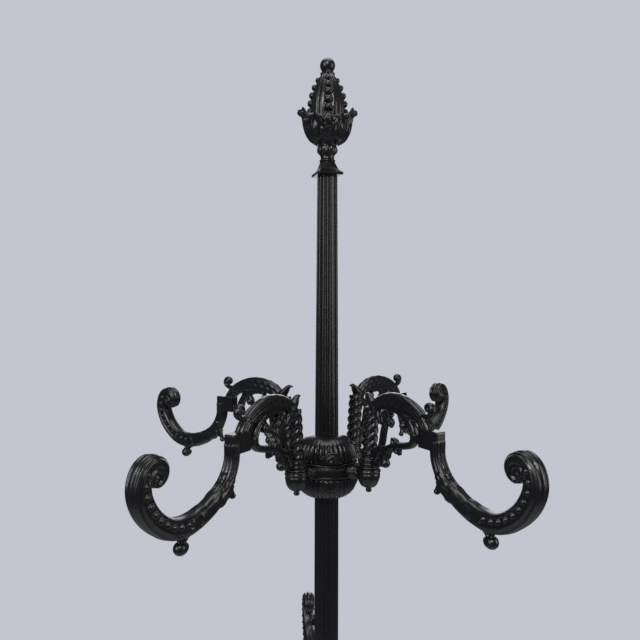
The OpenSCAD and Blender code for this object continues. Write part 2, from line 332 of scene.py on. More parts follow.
def at(stations, share):
    """Position, direction and thickness on the line at a share of its length."""
    p = cr(stations, 12)
    d = np.r_[0, np.cumsum(np.linalg.norm(np.diff(p[:, :2], axis=0), axis=1))]
    s = share * d[-1]
    g = lambda x: np.array([np.interp(x, d, p[:, k]) for k in range(p.shape[1])])
    a, b = g(s - 0.5), g(s + 0.5)
    t = (b - a)[:2]
    return g(s), t / np.linalg.norm(t), d[-1]


# ---------------------------------------------------------------- the arm, peg on the Z axis, socket mouth at z = 0, arm along +X
HOOK = [[127, 58, 13.6], [127, 43, 13.6], [131, 31, 14.4], [139, 19, 15.6], [152, 8, 17.5], [169, -1, 19.2], [189, -6.5, 21],
        [206, -7.5, 21.5], [223, -3, 21.5], [238.5, 7.5, 21.5], [250, 20.5, 21.3], [256.8, 35, 20.6], [257.6, 48, 19.4], [253.4, 59, 17.4],
        [244.8, 64.8, 15], [235.5, 63, 13], [230.6, 55.4, 11.8], [232.5, 47.5, 10.6], [238.5, 44, 9], [243.6, 47, 7.5], [244, 52, 6]]
CROWN = [[4, 60, 9], [6.5, 70, 11], [12, 78, 13], [20, 84, 16], [29, 88, 18], [41, 91, 20], [57, 92.5, 20], [74, 90, 19],
         [90, 84.5, 17], [102, 77, 15], [110, 67, 14.5], [113, 56, 14]]
SCROLL = [[42, 80, 4], [56, 81, 6], [69, 78.5, 7.5], [80, 71.5, 9], [87, 62, 9.5], [88.2, 53, 9], [83.5, 46, 8.5], [72, 42, 8.5],
          [58, 39.5, 8], [46, 36, 7], [31, 29, 7.5], [10, 22, 9]]


def arm_shells():
    S = []
    f = lambda i: frac(HOOK, i)
    f_leg, f_rib, f_roll = f(1), f(3.0), f(6.2)
    notch = f(5.75)
    keys = [(0, 8.2), (f(3), 8.2), (f(5), 8.3), (f(6), 8.8), (f(8), 10.1), (f(10), 10.9), (f(12), 11.1), (f(14), 10.6), (f(16), 9.8), (f(18), 8.4), (1, 5.5)]
    ks, kw = [k[0] for k in keys], [k[1] for k in keys]
    total = at(HOOK, 0.5)[2]

    def hook_relief(a, b, s):
        d = np.zeros(len(a))
        face = step01(np.abs(b), 0.80, 0.97)  # the two flat sides
        rim = step01(-a, 0.80, 0.97)  # the outer edge
        inner = step01(a, 0.80, 0.97)
        rib = float(1 - step01(s, f(3.4), f(4.4)))  # reeds down the leg
        d -= 1.7 * rib * face * (np.exp(-((a - 0.36) / 0.13) ** 2) + np.exp(-((a + 0.36) / 0.13) ** 2))
        d -= 1.6 * rib * (rim + inner) * (np.exp(-((b - 0.30) / 0.14) ** 2) + np.exp(-((b + 0.30) / 0.14) ** 2))
        roll = float(step01(s, f_roll, f(7.6)))  # rolled outer curve with its reeds
        d -= 1.5 * roll * (1 - step01(s, f(17), f(19))) * step01(-a, 0.15, 0.5) * (np.exp(-((np.abs(b) - 0.86) / 0.10) ** 2) + np.exp(-((np.abs(b) - 0.34) / 0.12) ** 2))
        head = float(step01(s, f(11.5), f(13)))
        d -= 1.3 * head * (np.exp(-((np.abs(b) - 0.46) / 0.13) ** 2)) * step01(-a, 0.2, 0.6)
        ch = float(step01(s, f(6.25), f(6.6)) * (1 - step01(s, f(13.0), f(14.2))))  # channel for the beads, on the inner half
        d -= 1.9 * ch * face * (1 - step01(np.abs(a - 0.20), 0.34, 0.50))
        # low leaf over the foot of the leg
        lf = float(step01(s, f(3.5), f(4.1)) * (1 - step01(s, f(5.5), f(6.0))))
        vein = np.cos(24 * pi * s + 2.6 * np.abs(a))
        d += lf * face * (0.45 + 0.28 * vein) * (1 - 0.5 * np.abs(a))
        d += lf * (inner + 0.5 * rim) * 0.6 * np.abs(np.cos(15 * pi * s))
        d -= 2.2 * math.exp(-(((s - notch) * total) / 1.5) ** 2) * face * (1 - step01(np.abs(a), 0.45, 0.62))
        return d

    S.append(bar(HOOK, lambda s: float(np.interp(s, ks, kw)), hook_relief))
    # closed eye of the rolled head
    S.append(ball((243.6, 0, 52.4), 10.2, (1, 0.96, 1), 24))
    S.append(ball((242.8, 0, 51.0), 5.2, (1, 2.06, 1), 16))
    for sd in (-1, 1):
        path, rad = [], []
        for k in range(30):
            a = math.radians(250 - 11.5 * k)
            rr = 8.4 - 0.17 * k
            path.append((243.2 + rr * math.cos(a), sd * (8.4 + 0.02 * k), 51.6 + rr * math.sin(a)))
            rad.append(1.7 - 0.015 * k)
        S.append(tube(path, rad, 12))
    # beads in the channel, both sides
    s = f(6.6)
    while s < f(13.6):
        p, t, L = at(HOOK, s)
        W = float(np.interp(s, ks, kw))
        nrm = np.array([-t[1], t[0]])
        c = p[:2] + nrm * p[2] / 2 * 0.22
        r = 3.0 - 0.6 * float(step01(s, f(9), f(13.6)))
        for sd in (-1, 1):
            S.append(ball((c[0], sd * (W - 1.7), c[1]), r, (1, 1, 1), 12))
        s += 11.0 / L
    # leaf ends, knobs and the small curl on the foot of the leg
    for sd in (-1, 1):
        S.append(ball((131.5, sd * 6.4, 27.5), 3.4, (1, 0.8, 1.15), 12))
        S.append(leaf([(131, sd * 7.4, 28), (137, sd * 7.8, 20), (145, sd * 7.9, 12), (156, sd * 7.6, 4)], [3.0, 5.0, 5.0, 0.8], (0, sd, 0), 1.5, lobes=3, lobe=0.12, mid=0.8))
        S.append(leaf([(131, sd * 6.2, 16), (139, sd * 7.0, 9), (149, sd * 7.2, 3), (160, sd * 6.8, -3)], [1.5, 3.8, 3.8, 0.8], (0, sd, 0), 1.5, lobes=2, lobe=0.12, mid=0.7))
        S.append(leaf([(150, sd * 6.6, 16), (160, sd * 7.4, 8), (171, sd * 7.4, 1), (178, sd * 7.0, -4)], [1, 3.4, 3.4, 0.8], (0, sd, 0), 1.4, lobes=2, lobe=0.12, mid=0.6))
    for x, z, r in ((139.0, 27.5, 2.4), (146.0, 20.4, 2.2), (154.0, 13.6, 2.0)):
        S.append(ball((x, 0, z), r, (1.5, 2.0, 0.9), 12, rot_y(42)))
    S.append(tube([(134, 0, 16), (130, 0, 9), (127.6, 0, 6), (126.2, 0, 3.4)], [5.0, 3.6, 2.8, 2.4], flat=1.2))
    S.append(ball((126.6, 0, 2.6), 3.7, (1, 1.15, 1), 12))
    # drop under the hook: a strap that curls into a ball
    S.append(tube([(186, 0, -13), (192.5, 0, -15.6), (198.5, 0, -18.6), (202.2, 0, -23), (203.6, 0, -28)], [2.6, 3.0, 3.0, 2.9, 2.6], flat=1.35))
    S.append(tube([(210, 0, -12), (207.5, 0, -15), (206.2, 0, -19), (206.6, 0, -24)], [3.0, 2.6, 2.4, 2.6], flat=1.2))
    S.append(ball((205.6, 0, -28), 7.1, (1, 1.0, 0.98), 20))
    path, rad = [], []
    for k in range(22):
        a = math.radians(150 + 15 * k)
        rr = 6.4 - 0.2 * k
        path.append((205.4 + rr * math.cos(a), 0, -27.6 + rr * math.sin(a)))
        rad.append(1.9 - 0.03 * k)
    S.append(tube(path, rad, 12, flat=3.1))
    # step
    S.append(box_shell((101.2, -6.8, 47), (132, 6.8, 69), 0.7))
    # crown
    g = lambda i: frac(CROWN, i)
    r0, r1 = g(6.6), g(8.4)

    def crown_relief(a, b, s):
        face = step01(np.abs(b), 0.78, 0.96)
        top = step01(a, 0.78, 0.96)
        rib = float(step01(s, r0, r1))
        d = -1.9 * rib * face * (np.exp(-((a - 0.42) / 0.13) ** 2) + np.exp(-((a + 0.02) / 0.13) ** 2) + np.exp(-((a + 0.5) / 0.12) ** 2))
        d = d - 1.2 * rib * top * np.exp(-(b / 0.2) ** 2)
        leafy = float((1 - rib) * step01(s, 0.03, 0.16))
        d = d + leafy * face * (0.20 * np.cos(24 * pi * (s - 0.07 * a)) - 0.5 * np.exp(-((a - 0.05) / 0.16) ** 2)) * (1 - step01(a, 0.5, 0.8))
        d = d + leafy * top * 0.14 * np.cos(24 * pi * s)
        return d

    S.append(bar(CROWN, lambda s: 6.6 if s > 0.5 else 5.4 + 2.4 * s, crown_relief, n=88))
    # little volute on the crown's shoulder
    S.append(tube([(100, 0, 79), (106, 0, 82.5), (111.5, 0, 83.4), (116.5, 0, 86), (118.6, 0, 90.5), (116.6, 0, 95), (112, 0, 96.2), (109, 0, 93.2), (110.3, 0, 89.8), (113.6, 0, 90)],
                  [4.6, 3.6, 3.0, 3.0, 3.1, 3.1, 3.0, 2.7, 2.4, 2.2], flat=1.5))
    S.append(ball((113.6, 0, 91.6), 3.8, (1, 1.5, 1), 10))
    # C scroll and its curl
    h = lambda i: frac(SCROLL, i)

    def scroll_section(x, s):
        return 1 - 0.28 * float(step01(s, h(1), h(2)) * (1 - step01(s, h(5.5), h(7)))) * np.exp(-((x) / 0.16) ** 2)

    S.append(band(SCROLL, lambda s: 5.0 if s < 0.75 else 4.4, scroll_section, step=1.3, n=28))
    S.append(tube([(84, 0, 73), (78, 0, 75), (72, 0, 73.5), (67.6, 0, 70), (66, 0, 65.6), (68.6, 0, 62)], [3.4, 3.2, 3.2, 3.2, 3.2, 3.0], flat=1.3))
    S.append(ball((69.6, 0, 65.4), 5.4, (1, 1.25, 1), 14))
    S.append(box_shell((84, -4.4, 49.5), (104, 4.4, 58.5), 0.8))
    # fish tail leaf where the scroll turns into the stem
    for sd in (-1, 1):
        S.append(leaf([(47.5, sd * 1.4, 47.5), (52, sd * 1.7, 42), (57, sd * 1.7, 35.5), (62.5, sd * 1.2, 28.5)], [1.2, 5.2, 5.8, 0.8], (0, sd, 0), 5.4, lobes=2, lobe=0.22, mid=0.9))
    # inner stem that springs from the foot of the post up under the crown, with three leaflets
    S.append(band([[12, 10, 7], [22, 24, 7], [28, 38, 6.5], [31, 52, 6.5], [36, 65, 6.5], [45, 76, 6]], lambda s: 4.6,
                  lambda x, s: 1 - 0.3 * np.exp(-(x / 0.16) ** 2), step=1.3, n=24))
    for sd in (-1, 1):
        S.append(leaf([(33, sd * 1.5, 76), (39, sd * 1.9, 70), (44.5, sd * 1.8, 64), (46.5, sd * 0.8, 58.5)], [4.5, 5.6, 4.6, 0.8], (0, sd, 0), 4.2, lobes=2, lobe=0.25, mid=1.0))
        S.append(leaf([(30, sd * 1.5, 60), (25, sd * 1.8, 66), (19, sd * 1.6, 71), (12, sd * 0.8, 76)], [3.0, 4.6, 4.6, 2.5], (0, sd, 0), 3.8, lobes=2, lobe=0.25, mid=0.9))
    S.append(tube([(17, 0, 77), (10, 0, 82), (5, 0, 86.4), (1.6, 0, 90.6), (-2.6, 0, 93.4), (-8.4, 0, 93.2)], [6.6, 6.0, 4.9, 3.7, 2.5, 0.8], flat=1.2))
    # scalloped bracket leaf down to the collar
    for sd in (-1, 1):
        S.append(leaf([(47, sd * 1.4, 36), (40, sd * 1.9, 28), (31, sd * 2.1, 17), (21, sd * 1.8, 9)], [2, 4.6, 6.4, 4], (0, sd, 0), 4.4, lobes=4, lobe=0.2, mid=1.1))
    S.append(tube([(14, 0, 9), (23, 0, 9.5), (31, 0, 12)], [4.2, 3.6, 3.4]))
    S.append(ball((34.5, 0, 13), 5.6, (1, 1.1, 1), 14))
    # rope twisted post
    n, zs = 96, np.arange(12, 80, 0.8)
    th = np.linspace(0, 2 * pi, n, endpoint=False)
    rows = []
    for z in zs:
        cx = 0.8 + 6.4 * ((z - 12) / 70) ** 1.3
        a = np.abs(np.cos(1.5 * (th - 2 * pi * z / 33)))
        fade = min(1, (z - 11) / 8, (82 - z) / 8)
        r = 8.9 + (-2.5 + 3.7 * a ** 0.6) * fade
        rows.append(np.stack([cx + r * np.cos(th), r * np.sin(th), np.full(n, z)], 1))
    S.append(grid(np.array(rows)))
    # collar stack and peg
    S.append(revolve([(9, 0.3), (12.9, 0.3), (13.6, 1.2), (13.6, 2.2), (12.6, 3.1), (10.6, 3.7), (10.4, 4.7), (12.2, 5.4), (12.8, 6.4), (12.2, 7.5), (10.3, 8.2), (9.6, 9.4),
                      (11.2, 10.2), (11.6, 11.2), (11, 12.3), (9.2, 13.2), (8.8, 15), (7, 17)], 72))
    S.append(revolve([(4.9, -21.5), (5.6, -21), (5.6, 1.5)], 48))
    return S


# ---------------------------------------------------------------- hub (centre at z = 0, arms at `first` and every 90 degrees)
R = 40.6


def lobes(n, t0, depth, power=0.7):
    return lambda th: -depth * (1 - np.abs(np.cos(n / 2 * (th - t0))) ** power)


def half_hub(h, p, last, start, up):
    """[radius, z] down the face of half the hub, from the belt to its flat end."""
    t = np.radians(np.linspace(0, last, 90))
    return np.stack([R * np.cos(t) ** (2 / p), start + up * h * np.sin(t) ** (2 / p)], 1)


DOME, DISH = half_hub(32.7, 2.6, 68.9, 14, 1), half_hub(31.66, 2.9, 71.3, -6, -1)


def patch(profile, face, z0, up, az, half=pi, n=40, k=1.12):
    """A raised moulding on the hub: profile of (distance, height) turned through a half circle about a point at height z0 on the face."""
    d = np.r_[0, np.cumsum(np.linalg.norm(np.diff(face, axis=0), axis=1))]
    s0 = np.interp(up * z0, up * face[:, 1], d)
    t = np.gradient(face, axis=0)
    t /= np.linalg.norm(t, axis=1)[:, None]
    rows = []
    for psi in np.linspace(0, half, n):
        row = []
        for rho, hgt in profile:
            s = s0 + k * rho * math.sin(psi)
            r, z = np.interp(s, d, face[:, 0]), np.interp(s, d, face[:, 1])
            nr, nz = abs(np.interp(s, d, t[:, 1])), up * abs(np.interp(s, d, t[:, 0]))
            a = az + k * rho * math.cos(psi) / R
            rr = r + hgt * nr
            row.append((rr * math.cos(a), rr * math.sin(a), z + hgt * nz))
        rows.append(row)
    return grid(np.array(rows))


ARCH = [(0, -4), (0, 1.4), (3.4, 1.4), (4.4, 0.7), (5.1, 0.6), (5.7, 2.3), (7.0, 3.0), (8.4, 2.8), (9.8, 1.8), (10.4, 0.4), (11.0, 0.2), (11.4, 1.4), (12.2, 1.7), (13.0, 1.0), (13.3, 0), (13.3, -4)]


def crown_shells(first):
    lob = lobes(32, math.radians(first), 2.8)
    prof = [(6.5, 14), (38.8, 14), (39.8, 14.3)] + [(float(a), float(b)) for a, b in DOME[2:]] + [(17.6, 45), (6.5, 45)]
    top = lambda th, z, r: r + lob(th) * float(step01(r, 23, 30) * step01(z, 14.6, 17) * (1 - 0.8 * step01(z, 32, 39))) if r > 17.8 else np.full(len(th), float(r))
    S = [revolve(prof, 384, top, True)]
    for k in range(4):
        S.append(patch(ARCH, DOME, 15.0, 1, math.radians(first + 45 + 90 * k)))
    return S


BOWL = [(0, -4), (0, 0.5), (5, 0.6), (7.6, 0.9), (8.4, 1.6), (9.4, 1.9), (10.4, 1.5), (11, 0.3), (11.6, 0.2), (12, 0.9), (12.8, 1.1), (13.6, 0.7), (14, 0), (14, -4)]


def bowl_shells(first):
    lob = lobes(32, math.radians(first), 2.8)
    prof = [(6.5, -36.5), (17.6, -36.5)] + [(float(a), float(b)) for a, b in DISH[::-1][:-2]] + [(39.8, -6.3), (38.8, -6), (6.5, -6)]
    low = lambda th, z, r: r + lob(th) * float(step01(r, 21, 30) * step01(-z, 6.8, 9)) if r > 17.8 else np.full(len(th), float(r))
    S = [revolve(prof, 384, low, True)]
    for k in range(4):
        S.append(patch(BOWL, DISH, -8.2, -1, math.radians(first + 45 + 90 * k)))
    return S


def ring_shells(first):
    prof = [(6.5, -6), (39.6, -6), (40.6, -5), (41.3, -4), (41.3, -2.8), (40.7, -2.2), (40.9, 2), (40.8, 6.6), (41.2, 7.1), (42.0, 7.8), (42.0, 8.8), (41.0, 9.6), (40.0, 10.1),
            (40.0, 10.8), (41.2, 11.4), (41.6, 12.2), (41.0, 13.1), (39.4, 14), (6.5, 14)]
    S = [revolve(prof, 256, None, True)]
    for k in range(4):
        a = math.radians(first + 90 * k)
        M, c = rot_z(first + 90 * k), (65.6 * math.cos(a), 65.6 * math.sin(a), 0)
        cup = [(1.2, -20.6), (3.0, -19.9), (3.9, -18.2), (3.9, -16.8), (3.2, -15.2), (3.4, -14.4), (6.4, -13.6), (9.2, -12.2), (11.4, -9.4), (13.2, -5.6), (14.2, -1.6),
               (14.6, 2.0), (14.5, 4.0), (13.7, 4.8), (13.7, 5.4), (15.0, 6.2), (15.4, 7.4), (15.0, 8.5), (14.0, 9.1), (14.2, 9.8), (14.5, 10.5), (13.6, 11), (6.3, 11), (6.2, 8), (6.2, -11.6), (1.2, -11.8)]
        cup = [(r, z) for r, z in cup]
        mod = lambda th, z, r: r * (1 - 0.07 * (1 - np.abs(np.cos(4 * th)) ** 0.8) * float(step01(-z, 1, 6) * (1 - step01(-z, 13.5, 14.5)))) if r > 5 else np.full(len(th), float(r))
        S.append(moved(revolve(cup, 96, mod), None, c))
        # lug with leaves that ties the socket to the ball
        for side in (1,):
            v, fcs = grid(np.array([[(x, w * math.cos(t), hh * math.sin(t) + z0) for t in np.linspace(0, 2 * pi, 32, endpoint=False)]
                                    for x, w, hh, z0 in ((36, 9.5, 9.5, 0.5), (41, 9, 8.6, 0.5), (45, 7.6, 7.4, 0.8), (49, 6.8, 6.8, 1), (54, 7.2, 7, 1.2), (58.6, 8, 7, 1.5))]))
            S.append(moved((v, fcs), M))
        for w in (-1, 1):
            lf = leaf([(39, w * 11, 3.5), (43.5, w * 9.5, 4.5), (48, w * 8.2, 4), (53.5, w * 9.5, 3.5)], [2.2, 4.2, 3.6, 1.2], (0, w, 0.15), 2.2, lobes=2, lobe=0.2, mid=0.8)
            S.append(moved(lf, M))
    return S


# ---------------------------------------------------------------- finial and cap (z above the top of the column)
def finial_shells():
    S = []
    xs = [17, 18, 20, 22, 24, 26]
    prof = [(2, 17), (9.6, 17), (10.6, 17.8), (10.8, 18.8), (9.9, 19.9), (9.1, 21), (9.0, 23.5), (9.6, 26), (11.4, 27.6), (13.0, 29.2), (13.7, 31.5), (13.7, 34), (13.0, 36.4), (11.8, 38),
            (12.4, 39.4), (15, 42), (18.5, 46), (21.5, 51), (23.6, 57), (24.8, 63), (24.8, 69), (22, 72), (2, 72)]

    def neck(th, z, r):
        if r < 3:
            return np.full(len(th), float(r))
        k = float(step01(z, 28, 31) * (1 - step01(z, 36, 38)))
        c = float(step01(z, 41, 47))
        return r - k * 1.3 * (1 - np.abs(np.cos(6 * th)) ** 0.8) - c * 1.3 * (1 - np.abs(np.cos(4 * th)) ** 0.7) - c * 0.5 * (0.5 + 0.5 * np.cos(32 * th))

    S.append(revolve(prof, 256, neck))
    # the cone: four strings of beads with reeded panels between them
    body = [(2, 56), (21, 56), (23.4, 64), (24.4, 74), (24.6, 84), (24.0, 92), (22.6, 100), (20.4, 108), (17.6, 116), (14.2, 123), (10.6, 129), (7.2, 133), (5.2, 135.5), (4.6, 137.5), (2, 138.5)]
    dens = cr(body, 5)

    def cone(th, z, r):
        if r < 5.5:
            return np.full(len(th), float(r))
        ph = ((th / (pi / 2) + 0.5) % 1) - 0.5  # 0 on a bead string
        reed = np.abs(np.cos(pi * 4 * (ph - 0.5)))
        panel = step01(np.abs(ph), 0.10, 0.16)
        return r * (1 - 0.06 * (1 - panel)) - panel * 1.5 * (1 - reed ** 0.7) * min(1, r / 16) + panel * 0.4 * np.cos(pi * (np.abs(ph) - 0.5) * 2)

    dens[:, 0] *= np.where(dens[:, 0] > 6, 0.94, 1)
    S.append(revolve([(float(a), float(b)) for a, b in dens], 320, cone))
    pr, pz = dens[:, 0], dens[:, 1]
    for k in range(4):
        a = k * pi / 2
        z = 62.0
        while z < 133:
            r = float(np.interp(z, pz, pr))
            size = 4.9 * min(1, (0.45 + 0.62 * r / 24))
            S.append(ball(((r - 1.0) * math.cos(a), (r - 1.0) * math.sin(a), z), size * 1.06, (1, 1.04, 0.97), 14))
            z += 10.4 * min(1, (0.5 + 0.6 * r / 24))
    S.append(ball((0, 0, 143), 10.0, n=28))
    S.append(revolve([(4, 134), (6.4, 134.6), (6.8, 135.6), (6.2, 136.6), (4, 137)], 64))
    # leaf cup: two tall side leaves, two lower ones front and back, four between
    for k in range(4):
        M = rot_z(90 * k)
        if k % 2 == 0:
            sp = [(13.5, 0, 40), (20, 0, 46), (25.4, 0, 54), (28.4, 0, 63), (29.8, 0, 72), (31.4, 0, 79), (34.2, 0, 83.4), (37.2, 0, 82.4), (37.8, 0, 78.6)]
            wd = [4, 9, 12.5, 14, 13, 11.5, 10, 7.5, 3.5]
        else:
            sp = [(13.5, 0, 40), (20, 0, 46), (25, 0, 52.5), (28, 0, 59), (30.6, 0, 65), (33.8, 0, 67.4), (36.6, 0, 65), (36.6, 0, 60.5)]
            wd = [4, 8.5, 12, 13, 12.5, 11, 8, 4]
        S.append(moved(leaf(sp, wd, (1, 0, 0.01), 5.4, lobes=4, lobe=0.10, cup=-0.26, mid=1.2, n=25), M))
        S.append(moved(ball((32.4, 0, 80.2) if k % 2 == 0 else (32.0, 0, 64.6), 5.6, (1.0, 1.5, 0.82), 22), M))
        S.append(moved(ball((27.0, 0, 75.5) if k % 2 == 0 else (27.6, 0, 60.5), 6.2, (1, 1.4, 1.0), 20), M))
        S.append(moved(ball((36.0, 0, 80.0) if k % 2 == 0 else (35.2, 0, 63.6), 3.1, (0.8, 2.4, 1), 16), M))
        for sd in (-1, 1):
            S.append(moved(leaf([(14, sd * 5, 43), (19.5, sd * 8.4, 49), (23.4, sd * 11.2, 57), (26, sd * 12.4, 65), (29.4, sd * 13.0, 70), (31.2, sd * 12.8, 68)], [3, 5, 5.4, 5, 4, 1.6],
                                (1, sd * 0.45, 0.01), 3.6, lobes=3, lobe=0.10, cup=-0.2, mid=0.9), M))
        M2 = rot_z(90 * k + 45)
        S.append(moved(leaf([(14, 0, 40), (20.5, 0, 46), (26, 0, 55), (28.4, 0, 64), (30.4, 0, 70.5), (33.4, 0, 73), (35.8, 0, 71), (35.4, 0, 67.6)], [3, 6.5, 8.5, 9, 8.2, 6.4, 4.4, 2],
                            (1, 0, 0.01), 4.4, lobes=3, lobe=0.11, cup=-0.26, mid=1.0, n=21), M2))
        S.append(moved(ball((33.2, 0, 71.0), 3.8, (1, 1.6, 0.8), 16), M2))
    return S


def cap_shells():
    rows = []
    n = 96
    th = np.linspace(0, 2 * pi, n, endpoint=False)
    # (half width, height, squareness: 0 round, 1 square)
    for hw, z, sq in [(2, 2, 0), (12.9, 2, 0), (12.9, 2.05, 0), (17.0, 2.1, 1), (17.5, 2.5, 1), (17.5, 5.0, 1), (17.1, 5.6, 1), (15.9, 6.3, 1), (14.3, 7.6, 0.97), (12.6, 9.6, 0.9),
                      (11.2, 12.6, 0.72), (10.3, 16.2, 0.45), (9.9, 20.0, 0.1), (2, 20.0, 0)]:
        c, s = np.cos(th), np.sin(th)
        p = 2 + 14 * sq ** 2
        rr = hw / (np.abs(c) ** p + np.abs(s) ** p) ** (1 / p)
        rows.append(np.stack([rr * c, rr * s, np.full(n, z)], 1))
    S = [grid(np.array(rows))]
    S.append(revolve([(6.5, 0), (13.0, 0), (13.2, 0.6), (12.6, 1.4), (13.2, 2.3), (6.5, 2.4)], 96))
    return S


# ---------------------------------------------------------------- columns
def col_r(z):
    return 13.5 + (1664 - max(z, 1278)) * 0.0067 + max(0, 1278 - z) * 0.001


def column_shell(z0, z1):
    n = 16 * 14
    th = np.linspace(0, 2 * pi, n, endpoint=False)
    ph = ((th / (2 * pi / 16)) % 1) - 0.5
    x = ph / 0.40
    groove = np.where(np.abs(x) < 1, np.sqrt(np.maximum(0, 1 - x * x)), 0)
    rows = []
    zs = [z0, z0 + 0.02] + list(np.linspace(z0 + 1.2, z1 - 1.2, max(8, int((z1 - z0) / 12)))) + [z1 - 0.02, z1]
    for i, z in enumerate(zs):
        R0 = col_r(z)
        r = R0 - 1.7 * groove
        if i in (0, len(zs) - 1):
            r = np.full(n, 6.5)
        rows.append(np.stack([r * np.cos(th), r * np.sin(th), np.full(n, z)], 1))
    v, f = grid(np.array(rows), caps=False)
    last = (len(rows) - 1) * n
    return v, f + [(last + j, last + (j + 1) % n, (j + 1) % n, j) for j in range(n)]


# ---------------------------------------------------------------- base
LEG = [[68, 196, 20], [86, 182, 24], [101, 152, 20], [113, 120, 18], [131, 90, 17], [155, 64, 17], [182, 45, 18], [206, 32, 18], [222, 24, 16]]
KNEE = [[61, 98, 22], [76, 94, 16], [95, 104, 12], [107, 120, 10]]


def leg_shells():
    S = []
    fl = lambda x, s: 1 - 0.22 * (np.exp(-((np.abs(x) - 0.36) / 0.14) ** 2)) - 0.05
    S.append(band(LEG, lambda s: 9.2, fl, step=2.0, n=40))
    S.append(band(KNEE, lambda s: 8.4, lambda x, s: 1 - 0.2 * np.exp(-(x / 0.2) ** 2), step=2.0, n=30))
    S.append(box_shell((60, -11, 170), (71, 11, 208), 1.2))
    S.append(box_shell((60, -11, 80), (69, 11, 114), 1.2))
    # volutes: knee, ankle and toe
    for cx, cz, r, turn, w in ((77, 197, 16.4, 1, 10.6), (100, 131, 12.6, -1, 10.4)):
        path, rad = [], []
        for k in range(40):
            a = turn * (k / 39) * 2.6 * pi + (0.2 if turn > 0 else 2.6)
            rr = (r - 4) * (1 - 0.80 * k / 39)
            path.append((cx + rr * math.cos(a), 0, cz + rr * math.sin(a)))
            rad.append(4.0 - 1.3 * k / 39)
        S.append(tube(path, rad, 16, flat=w / 4.0))
        S.append(ball((cx, 0, cz), r * 0.80, (1, 0.55, 1), 16))
        S.append(ball((cx, 0, cz), r * 0.26, (1, (w + 1.5) / (r * 0.26), 1), 12))
    S.append(ball((220, 0, 28), 15, (1, 0.82, 1), 20))
    path, rad = [], []
    for k in range(36):
        a = -0.5 * pi + (k / 35) * 2.3 * pi
        rr = 12.0 * (1 - 0.75 * k / 35)
        path.append((220 + rr * math.cos(a), 0, 28.5 + rr * math.sin(a)))
        rad.append(3.4 - 1.0 * k / 35)
    S.append(tube(path, rad, 16, flat=3.5))
    S.append(revolve([(5, 8), (13.2, 8), (14, 8.8), (14, 10.6), (12.8, 12), (10.8, 13.4), (10.8, 17), (12, 20), (5, 22)], 72))
    S[-1] = moved(S[-1], None, (222, 0, 0))
    # acanthus down the front of the leg and a row of beads
    S.append(leaf([(92, 0, 190), (104, 0, 172), (113, 0, 150), (121, 0, 126), (136, 0, 100), (150, 0, 86), (158, 0, 88)], [6, 10, 11.5, 10.5, 8, 5, 1.5], (0.8, 0, 0.5), 3.2, lobes=6, lobe=0.16, cup=-0.18, mid=1.6, n=25))
    for i in range(7):
        p, t, L = at(LEG, 0.60 + i * 0.044)
        nrm = np.array([-t[1], t[0]])
        c = p[:2] + nrm * (p[2] / 2 - 0.6) if nrm[1] > 0 else p[:2] - nrm * (p[2] / 2 - 0.6)
        S.append(ball((c[0], 0, c[1]), 3.6 - i * 0.15, n=10))
    for sd in (-1, 1):
        S.append(leaf([(196, sd * 8.4, 38), (206, sd * 9.6, 31), (216, sd * 10.6, 22), (223, sd * 11.0, 14)], [3, 6.5, 6.5, 2], (0.1, sd, 0.1), 2.6, lobes=3, lobe=0.2, mid=1.0))
        S.append(leaf([(80, sd * 9.8, 170), (88, sd * 9.6, 156), (96, sd * 9.3, 142), (102, sd * 8.6, 130)], [3, 6, 6, 1.4], (0, sd, 0.1), 2.4, lobes=3, lobe=0.2, mid=1.0))
    return S


def dome_shells():
    prof = [(6.6, 215), (62, 215), (63.6, 216.2), (64, 218.4), (63.2, 220.2), (61.2, 221.4), (60.2, 222.8), (60.8, 224.2), (60, 225.6), (58.6, 228), (56.4, 233), (53, 238.5), (48.6, 243.6), (43, 248.6),
            (37.4, 252.4), (33, 254.8), (29.4, 256), (28.6, 257.4), (28.8, 259), (28, 260.6), (26, 261.6), (24, 262), (6.6, 262)]

    def mod(th, z, r):
        k = float(step01(z, 226, 231) * (1 - step01(z, 252, 255.4)))
        return r - k * 2.6 * (1 - np.abs(np.cos(12 * th)) ** 0.7) * r / 50 if r > 7 else np.full(len(th), float(r))

    return [revolve(prof, 384, mod, True)]


